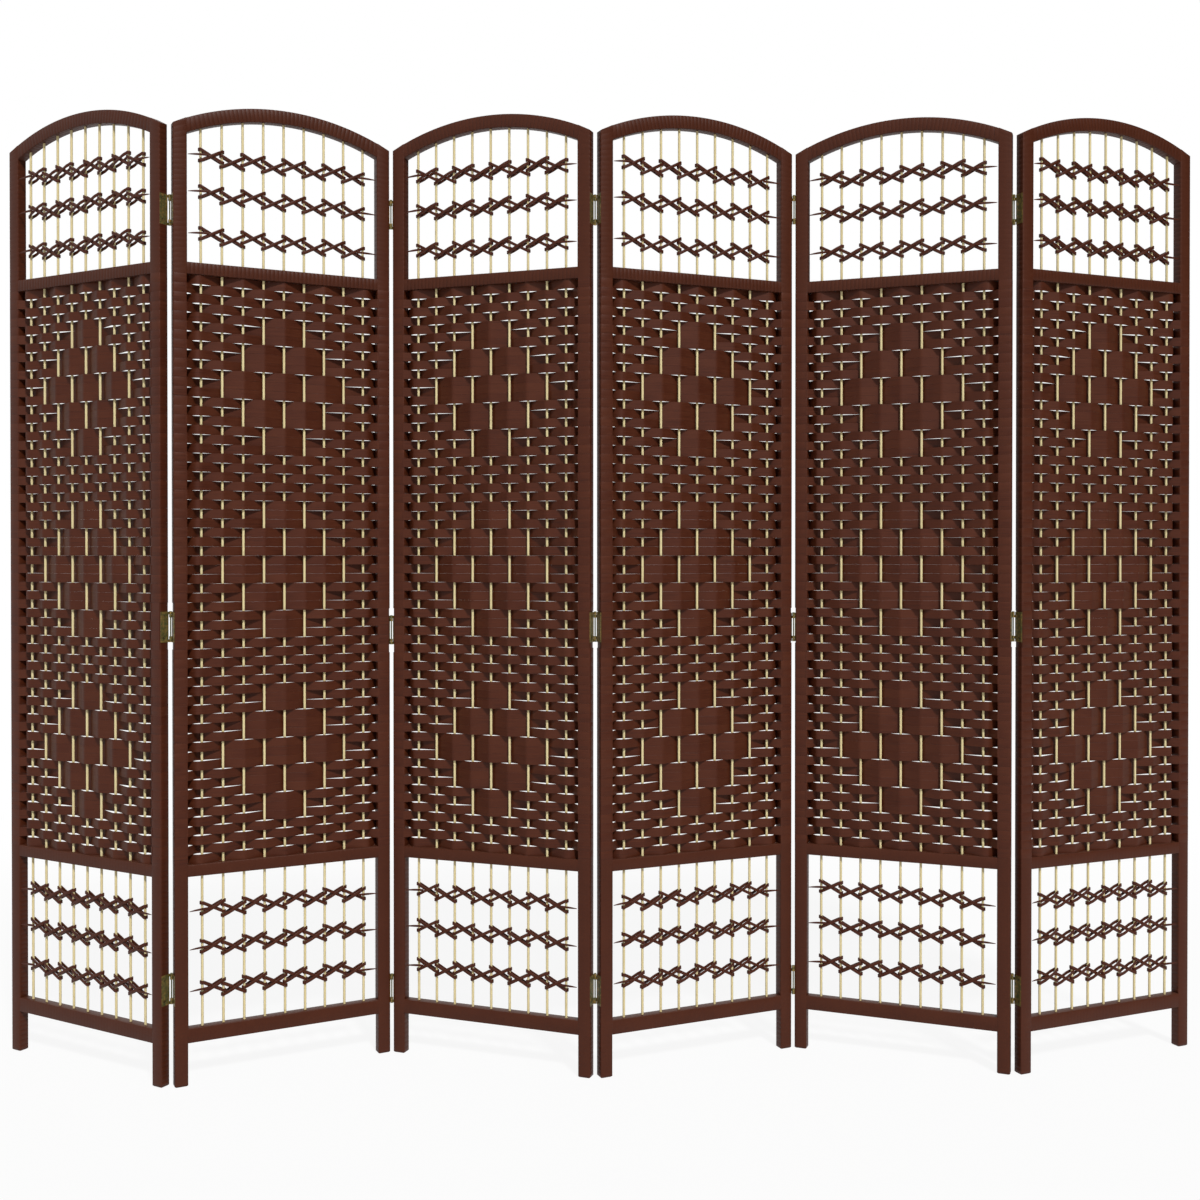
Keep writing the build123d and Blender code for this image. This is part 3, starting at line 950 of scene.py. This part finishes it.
@dataclass
class WovenField:
    """Flat fiber bands woven past the rods, one a row, each wrapped round both posts."""

    shape: PanelShape
    plan: ScreenPlan
    row_gap: float = 0.06
    thickness: float = 1.2
    wave_depth: float = 6.8
    crossing: float = 18.0
    bend: float = 4.0
    ring_gap: float = 0.08
    ring_thickness: float = 0.5
    ring_side: float = 1.0
    ring_face: float = 0.35
    bevel: float = 0.25
    diamond_spacing: int = 20
    diamond_step: int = 3
    diamond_reach: int = 3
    hinge_height: float = 54.0
    notch: float = 0.5
    notch_inset: float = 1.2
    post_clear: float = 0.4
    flat_from: float = 33.0
    hinge_heights: tuple[tuple[float, ...], ...] = (
        (170.5, 813.0, 1549.5),
        (121.5, 798.5, 1579.5),
        (156.0, 810.5, 1561.0),
        (130.5, 803.0, 1594.5),
        (150.5, 810.0, 1565.5),
    )

    def passes_behind(self, row: int, rod: int) -> bool:
        """Whether a band passes behind a rod: plain weave, with floats of three rows that make diamonds.

        Args:
            row: The row, counted from the middle one.
            rod: The rod, counted from 0 at the left.

        Returns:
            True where it passes behind.
        """
        behind = (row + rod) % 2 == 0
        middle = (self.shape.rod_count - 1) / 2
        for centre in (-self.diamond_spacing, 0, self.diamond_spacing):
            steps, rest = divmod(abs(row - centre), self.diamond_step)
            if rest == 0 and steps < self.diamond_reach and abs(rod - middle) <= self.diamond_reach - steps:
                behind = not behind
        return behind

    def ribbon_line(self, behind: tuple[bool, ...]) -> np.ndarray:
        """The middle line of a band between its post rings, in plan.

        Args:
            behind: Whether it passes behind each rod.

        Returns:
            The points.
        """
        sh = self.shape
        ring = sh.post_depth / 2 + self.ring_face - self.ring_thickness / 2
        edge, start = sh.post_width + self.post_clear, sh.post_width - sh.post_corner
        depths = [self.wave_depth if flag else -self.wave_depth for flag in behind]
        first, last = -math.copysign(ring, depths[0]), -math.copysign(ring, depths[-1])
        far, crossing = sh.width - edge, sh.post_width + self.crossing
        return np.array(self.corner_bend(
            (start, first), (edge, first), (crossing, depths[0]),
            *zip(sh.rods, depths),
            (sh.width - crossing, depths[-1]), (far, last), (sh.width - start, last),
        ))

    def corner_bend(self, *corners: tuple[float, float]) -> list[tuple[float, float]]:
        """A line through corners, each rounded off.

        Args:
            *corners: The line's ends and the corners between them.

        Returns:
            The points.
        """
        points = [np.array(corner) for corner in corners]
        line = [tuple(points[0])]
        for before, at, after in zip(points, points[1:], points[2:]):
            back, ahead = before - at, after - at
            if abs(back[0] * ahead[1] - back[1] * ahead[0]) < 1e-6:
                line.append(tuple(at))
                continue
            cut = min(self.bend, 0.45 * np.linalg.norm(back), 0.45 * np.linalg.norm(ahead))
            start = at + back / np.linalg.norm(back) * cut
            end = at + ahead / np.linalg.norm(ahead) * cut
            for share in (0.0, 0.25, 0.5, 0.75, 1.0):
                near = start + (at - start) * share
                line.append(tuple(near + (at + (end - at) * share - near) * share))
        line.append(tuple(points[-1]))
        return line

    def ring_line(self, side: Side, notched: bool) -> np.ndarray:
        """The middle line of a band's turn round a post, in plan.

        Args:
            side: The post's side.
            notched: Whether it is cut back for a hinge leaf.

        Returns:
            The points, of a closed line where it isn't notched.
        """
        sh = self.shape
        inset = self.ring_thickness / 2
        width = sh.post_width + 2 * (self.ring_side - inset)
        depth = sh.post_depth + 2 * (self.ring_face - inset)
        line = rounded_section(width, depth, sh.post_corner, 3)
        if side is Side.LEFT:
            line = line * np.array([-1.0, 1.0])
        if notched:
            # from the front face's cut round the inner side to the back face's cut, for a post on the right
            keep = line[:, 0] * -1 if side is Side.RIGHT else line[:, 0]
            cut = sh.post_width / 2 - self.notch_inset
            order = np.argsort(np.arctan2(line[:, 1], line[:, 0] * (-1 if side is Side.RIGHT else 1)))
            line, keep = line[order], keep[order]
            line = line[keep > -cut]
            end = -cut if side is Side.LEFT else cut
            line = np.vstack([[end, line[0, 1]], line, [end, line[-1, 1]]])
        middle = sh.post_width / 2 if side is Side.LEFT else sh.width - sh.post_width / 2
        return line + np.array([middle, 0.0])

    def skin(
        self, draft: MeshDraft, line: np.ndarray, low: float, high: float,
        thickness: float, closed: bool, seed: float,
    ) -> None:
        """Adds a band's skin along a line.

        Args:
            draft: The draft that gets it.
            line: The band's middle line in plan.
            low: Its lower edge's height.
            high: Its upper edge's height.
            thickness: Its thickness.
            closed: Whether the line closes.
            seed: An offset of the strand map, so that no two bands show the same fibers.
        """
        half, t = (high - low) / 2, thickness / 2
        profile = np.array([
            (-half, -0.7 * t), (-half + self.bevel, -t), (half - self.bevel, -t), (half, -0.7 * t),
            (half, 0.7 * t), (half - self.bevel, t), (-half + self.bevel, t), (-half, 0.7 * t),
        ])
        stands = np.array([0.45, 1.0, 1.0, 0.45] * 2)
        if closed:
            ahead, back = np.roll(line, -1, axis=0), np.roll(line, 1, axis=0)
        else:
            ahead, back = np.vstack([line[1:], line[-1:]]), np.vstack([line[:1], line[:-1]])
        way = ahead - back
        way /= np.linalg.norm(way, axis=1, keepdims=True)
        normal = np.stack([-way[:, 1], way[:, 0]], axis=1)
        rings = np.zeros((len(line), len(profile), 3))
        rings[:, :, :2] = line[:, None, :] + normal[:, None, :] * profile[None, :, 1, None]
        rings[:, :, 2] = (low + high) / 2 + profile[None, :, 0]
        along = lengths(line, closed) * MM + seed
        around = lengths(profile, True) * MM + seed * 0.37
        draft.sweep(rings * MM, along, around, stands[None, :], closed=closed)

    def meets_hinge(self, panel: Panel, side: Side, low: float, high: float) -> bool:
        """Whether a row lies at one of the hinges on a post.

        Args:
            panel: The panel.
            side: The post's side.
            low: The row's lower edge.
            high: The row's upper edge.

        Returns:
            True where it does.
        """
        joint = panel.number if side is Side.RIGHT else panel.number - 1
        if not 1 <= joint < len(self.plan.turns):
            return False
        reach = self.hinge_height / 2 + self.notch
        return any(low < z + reach and high > z - reach for z in self.hinge_heights[joint - 1])

    def build(self, panel: Panel, material: bpy.types.Material) -> bpy.types.Object:
        """Builds a panel's bands.

        Args:
            panel: The panel.
            material: The bands' material.

        Returns:
            The woven piece.
        """
        draft = MeshDraft()
        rows = self.shape.row_count
        pitch = self.shape.weave / rows
        half = (rows - 1) // 2
        for row in range(-half, rows - half):
            low = self.shape.levels["lower_rail_top"] + pitch * (row + half) + self.row_gap / 2
            high = low + pitch - self.row_gap
            behind = tuple(self.passes_behind(row, rod) for rod in range(self.shape.rod_count))
            seed = 0.613 * (row + half) + 7.31 * panel.number
            self.skin(draft, self.ribbon_line(behind), low, high, self.thickness, False, seed)
            more = (self.row_gap - self.ring_gap) / 2
            for side in Side:
                notched = self.meets_hinge(panel, side, low, high)
                ring = self.ring_line(side, notched)
                self.skin(draft, ring, low - more, high + more, self.ring_thickness, not notched, seed + 0.29)
        piece = draft.finish(f"{panel.body}_woven_field", material, self.flat_from)
        return panel.stand(piece, "woven_fiber", "woven_bands")


@dataclass
class CrossLacing:
    """Flat laces looped round each pair of rods, crossing in the open windows."""

    shape: PanelShape
    bottom_heights: tuple[float, ...] = (67.5, 141.5, 209.5)
    top_heights: tuple[float, ...] = (53.5, 127.5, 192.5)
    width: float = 5.7
    thickness: float = 2.0
    gap: float = 0.3
    cross: float = 19.5
    step: float = 7.0
    swell_run: float = 9.0
    tail_width: float = 4.2
    tail_tip: float = 1.0
    tail_thickness: float = 1.3
    tail_root: float = 13.0
    tail_stop: float = 3.0
    left_tail_drop: float = 2.6
    right_tail_drop: float = 1.0
    _mesh: bpy.types.Mesh | None = None

    @property
    def radius(self) -> float:
        """The laces' distance from a rod's axis."""
        return self.shape.rod_diameter / 2 + self.gap + self.thickness / 2

    @property
    def swell(self) -> float:
        """How much further out the rising strands pass over the falling ones."""
        return self.thickness + self.gap

    def loop(self, draft: MeshDraft, middle: float, z: float, rising: bool, seed: float) -> None:
        """Adds a loop round two rods, its strip upright all the way.

        Args:
            draft: The draft that gets it.
            middle: The loop's middle along the panel.
            z: The loop's middle height.
            rising: Whether it climbs to the right, outside the other.
            seed: An offset of the strand map.
        """
        rod = (self.shape.rods[1] - self.shape.rods[0]) / 2
        line = []
        for end in (1, -1):
            for turn in np.linspace(-math.pi / 2, math.pi / 2, 11):
                line.append((end * (rod + self.radius * math.cos(turn)), end * self.radius * math.sin(turn)))
            for share in (0.88, 0.76, 0.64, 0.52, 0.0, -0.52, -0.64, -0.76, -0.88):
                reach = min(1.0, rod * (1 - abs(share)) / self.swell_run)
                lift = self.swell * reach**2 * (3 - 2 * reach) if rising else 0.0
                line.append((end * rod * share, end * (self.radius + lift)))
        line = np.array(line)
        way = np.roll(line, -1, axis=0) - np.roll(line, 1, axis=0)
        way /= np.linalg.norm(way, axis=1, keepdims=True)
        section = rounded_section(self.thickness, self.width, 0.45, 2)
        level = np.clip(line[:, 0] / rod, -1.0, 1.0) * self.cross / 2 * (1 if rising else -1)
        rings = np.zeros((len(line), len(section), 3))
        rings[:, :, 0] = middle + line[:, :1] + way[:, 1:] * section[None, :, 0]
        rings[:, :, 1] = line[:, 1:] - way[:, :1] * section[None, :, 0]
        rings[:, :, 2] = z + level[:, None] + section[None, :, 1]
        stand = 1.0 - 0.4 * (np.abs(section[:, 1]) > self.width / 2 - 0.3)
        draft.sweep(
            rings * MM, lengths(line, True) * MM + seed, lengths(section, True) * MM + seed,
            stand[None, :], closed=True,
        )

    def tail(self, draft: MeshDraft, side: Side, z: float, drop: float, seed: float) -> None:
        """Adds the tapered end of a row of lacing.

        Args:
            draft: The draft that gets it.
            side: The side of the panel that it points to.
            z: The row's height there.
            drop: How far the tip hangs below the row.
            seed: An offset of the strand map.
        """
        sh = self.shape
        rod = sh.rods[0] if side is Side.LEFT else sh.rods[-1]
        root = rod - side.value * self.tail_root
        tip = sh.post_width + self.tail_stop
        tip = tip if side is Side.LEFT else sh.width - tip
        share = np.linspace(0.0, 1.0, 15)
        x = root + (tip - root) * share
        height = z - drop * share**2
        depth = self.radius + self.swell + (self.thickness + self.tail_thickness) / 2
        y = -(depth + 0.1) * np.ones_like(share)
        width = self.tail_width + (self.tail_tip - self.tail_width) * share**3
        thick = self.tail_thickness * (1 - 0.35 * share)
        unit = rounded_section(1.0, 1.0, 0.3, 2)
        rings = np.zeros((len(share), len(unit), 3))
        rings[:, :, 0] = x[:, None]
        rings[:, :, 1] = y[:, None] + unit[None, :, 0] * thick[:, None]
        rings[:, :, 2] = height[:, None] + unit[None, :, 1] * width[:, None]
        if side is Side.LEFT:
            rings = rings[::-1]
        draft.sweep(rings * MM, share * abs(tip - root) * MM + seed, lengths(unit, True) * 3 * MM + seed)

    def draw(self) -> MeshDraft:
        """Draws the lacing of both windows.

        Returns:
            The draft, in the panel's frame.
        """
        lv, rods = self.shape.levels, self.shape.rods
        draft = MeshDraft()
        heights = [lv["bottom_rail_top"] + h for h in self.bottom_heights]
        heights += [lv["upper_rail_top"] + h for h in self.top_heights]
        for row, z in enumerate(heights):
            for cell in range(len(rods) - 1):
                middle = (rods[cell] + rods[cell + 1]) / 2
                level = z - self.step * (cell % 2)
                seed = 0.71 * row + 0.173 * cell
                self.loop(draft, middle, level, True, seed)
                self.loop(draft, middle, level, False, seed + 0.4)
            self.tail(draft, Side.LEFT, z, self.left_tail_drop, 0.91 * row)
            last = self.step * ((len(rods) - 2) % 2)
            self.tail(draft, Side.RIGHT, z - last, self.right_tail_drop, 0.83 * row)
        return draft

    def build(self, panel: Panel, material: bpy.types.Material) -> bpy.types.Object:
        """Builds a panel's lacing.

        Args:
            panel: The panel.
            material: The laces' material.

        Returns:
            The lacing.
        """
        name = f"{panel.body}_laces"
        if self._mesh is None:
            piece = self.draw().finish(name, material)
            self._mesh = piece.data
        else:
            piece = bpy.data.objects.new(name, self._mesh)
            bpy.context.scene.collection.objects.link(piece)
        return panel.stand(piece, "woven_fiber", "cross_lacing")


@dataclass
class Fittings:
    """The rods and the hinges, which keep the solid model's shapes and get their materials here."""

    rods: bpy.types.Material
    plates: bpy.types.Material
    pins: bpy.types.Material
    screws: bpy.types.Material

    def dress(self, node: str, material: bpy.types.Material) -> None:
        """Gives a solid its material.

        Args:
            node: The solid's name.
            material: The material.
        """
        piece = frame["nodes"][node]
        for slot in piece.material_slots:
            slot.material = material
        log.info("%s is dressed in %s", node, material.name)

    def build(self, panels: list[Panel]) -> None:
        """Dresses every panel's rods and hinges.

        Args:
            panels: The panels.
        """
        for panel in panels:
            self.dress(panel.node("bamboo_rods"), self.rods)
            self.dress(panel.node("hinge_leaves"), self.plates)
            self.dress(panel.node("hinge_screws"), self.screws)
        for left, right in zip(panels, panels[1:]):
            self.dress(f"hinge_pins_{left.number}_{right.number}", self.pins)


@dataclass
class Studio:
    """The pale floor, the soft light and the camera."""

    camera_at: tuple[float, float, float] = (-0.00425, -2.59998, 0.94674)
    camera_down: float = 0.0079
    focal_pixels: float = 1412.56
    shift_pixels: float = -37.5
    floor_size: float = 24.0
    world_level: float = 0.26
    sun_way: tuple[float, float, float] = (-0.27, 0.66, -0.70)
    sun_level: float = 2.7
    sun_spread: float = 7.0

    def camera(self) -> None:
        """Stands the camera where the photograph was taken."""
        data = bpy.data.cameras.new("camera")
        data.sensor_width = 36.0
        data.lens = self.focal_pixels / PHOTO_WIDTH * data.sensor_width
        data.shift_y = self.shift_pixels / PHOTO_WIDTH
        data.clip_end = 60.0
        made = bpy.data.objects.new("camera", data)
        made.location = self.camera_at
        made.rotation_euler = (math.pi / 2 - self.camera_down, 0.0, 0.0)
        bpy.context.scene.collection.objects.link(made)
        bpy.context.scene.camera = made

    def seen_plainly(self, bench: NodeBench) -> bpy.types.NodeSocket:
        """The share of a ray that sees the background: camera, glossy or transmission rays.

        Args:
            bench: The bench of the material or world.

        Returns:
            The share's socket.
        """
        path = bench.add("ShaderNodeLightPath")
        seen = bench.math("MAXIMUM", path.outputs["Is Camera Ray"], path.outputs["Is Glossy Ray"])
        return bench.math("MAXIMUM", seen, path.outputs["Is Transmission Ray"])

    def world(self) -> None:
        """Makes a white surround that lights softly."""
        world = bpy.data.worlds.new("surround")
        world.use_nodes = True
        bpy.context.scene.world = world
        bench = NodeBench(world.node_tree)
        background = world.node_tree.nodes["Background"]
        way = bench.add("ShaderNodeTexCoord").outputs["Generated"]
        right = bench.feed(bench.add("ShaderNodeSeparateXYZ"), Vector=way).outputs[0]
        shade = bench.spread(right, 0.15, 0.75, 1.0, 0.02)
        glossy = bench.add("ShaderNodeLightPath").outputs["Is Glossy Ray"]
        plain = bench.spread(self.seen_plainly(bench), 0.0, 1.0, self.world_level, 1.0)
        level = bench.math("MULTIPLY", plain, bench.math("ADD", bench.math("SUBTRACT", 1.0, glossy),
                                                         bench.math("MULTIPLY", glossy, shade)))
        bench.feed(background, Color=(1.0, 1.0, 1.0, 1.0), Strength=level)

    def floor(self) -> None:
        """Lays a pale floor that keeps the shadow near the screen and fades to white further off."""
        half = self.floor_size / 2
        mesh = bpy.data.meshes.new("floor")
        corners = [(-half, -half, 0), (half, -half, 0), (half, half, 0), (-half, half, 0)]
        mesh.from_pydata(corners, [], [(0, 1, 2, 3)])
        piece = bpy.data.objects.new("floor", mesh)
        bpy.context.scene.collection.objects.link(piece)
        material = bpy.data.materials.new("pale_floor")
        material.use_nodes = True
        tree = material.node_tree
        bench = NodeBench(tree)
        shader = tree.nodes["Principled BSDF"]
        bench.feed(shader, Base_Color=(0.86, 0.86, 0.86, 1.0), Roughness=0.9, Specular_IOR_Level=0.1)
        place = bench.add("ShaderNodeTexCoord").outputs["Object"]
        far = bench.feed(bench.add("ShaderNodeVectorMath", operation="LENGTH"), input_0=place).outputs[1]
        white = bench.feed(bench.add("ShaderNodeEmission"), Color=(1.0, 1.0, 1.0, 1.0), Strength=1.0)
        share = bench.math("MULTIPLY", bench.spread(far, 1.3, 3.2, 0.9, 1.0), self.seen_plainly(bench))
        mix = bench.add("ShaderNodeMixShader")
        bench.feed(mix, input_0=share, input_1=shader.outputs[0], input_2=white.outputs[0])
        bench.feed(tree.nodes["Material Output"], Surface=mix.outputs[0])
        mesh.materials.append(material)

    def sun(self) -> None:
        """Lights the screen evenly from the front, the right and above."""
        data = bpy.data.lights.new("sun", "SUN")
        data.energy = self.sun_level
        data.angle = math.radians(self.sun_spread)
        made = bpy.data.objects.new("sun", data)
        made.location = (1.5, -2.5, 3.0)
        made.rotation_euler = Vector(self.sun_way).to_track_quat("-Z", "Y").to_euler()
        bpy.context.scene.collection.objects.link(made)

    def build(self) -> None:
        """Sets up the whole studio."""
        bpy.context.scene.view_settings.view_transform = "Standard"
        self.camera()
        self.world()
        self.floor()
        self.sun()


def main() -> None:
    """Builds the screen's looks piece by piece."""
    logging.basicConfig(level=logging.INFO, format="%(name)s: %(message)s")
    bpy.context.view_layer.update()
    shape = PanelShape()
    plan = ScreenPlan(shape)
    panels = plan.panels()
    workshop = Workshop()
    wound = workshop.strand(StrandFinish(
        "wound_strip", linear(68, 29, 12), linear(86, 42, 22), linear(30, 10, 4), contrast=0.4, wear=0.12,
    ))
    woven = workshop.strand(StrandFinish(
        "woven_band", linear(69, 29, 13), linear(88, 44, 24), linear(34, 12, 5),
        fibers=520.0, length=14.0, contrast=0.75, wear=0.10,
    ))
    lace = workshop.strand(StrandFinish(
        "lace_strip", linear(66, 27, 11), linear(86, 42, 23), linear(32, 11, 5),
        fibers=700.0, contrast=0.6, wear=0.12,
    ))
    bamboo = workshop.bamboo(BambooFinish(
        "pale_bamboo", linear(218, 201, 150), linear(234, 221, 176), linear(176, 154, 102)
    ))
    brass = workshop.plate(PlateFinish(
        "aged_brass", linear(98, 84, 46), linear(64, 78, 44), linear(164, 132, 70), metallic=0.35
    ))
    pin = workshop.plate(PlateFinish(
        "worn_pin", linear(88, 90, 60), linear(62, 72, 44), linear(150, 142, 106),
        roughness=0.4, metallic=0.35,
    ))
    steel = workshop.plate(PlateFinish(
        "dark_screw", linear(62, 54, 34), linear(40, 34, 22), linear(140, 116, 70), metallic=0.5
    ))
    frames, weave, lacing = WoundFrame(shape), WovenField(shape, plan), CrossLacing(shape)
    for panel in panels:
        frames.build(panel, wound)
        weave.build(panel, woven)
        lacing.build(panel, lace)
    Fittings(bamboo, brass, pin, steel).build(panels)
    Studio().build()


if __name__ == "__main__":
    main()
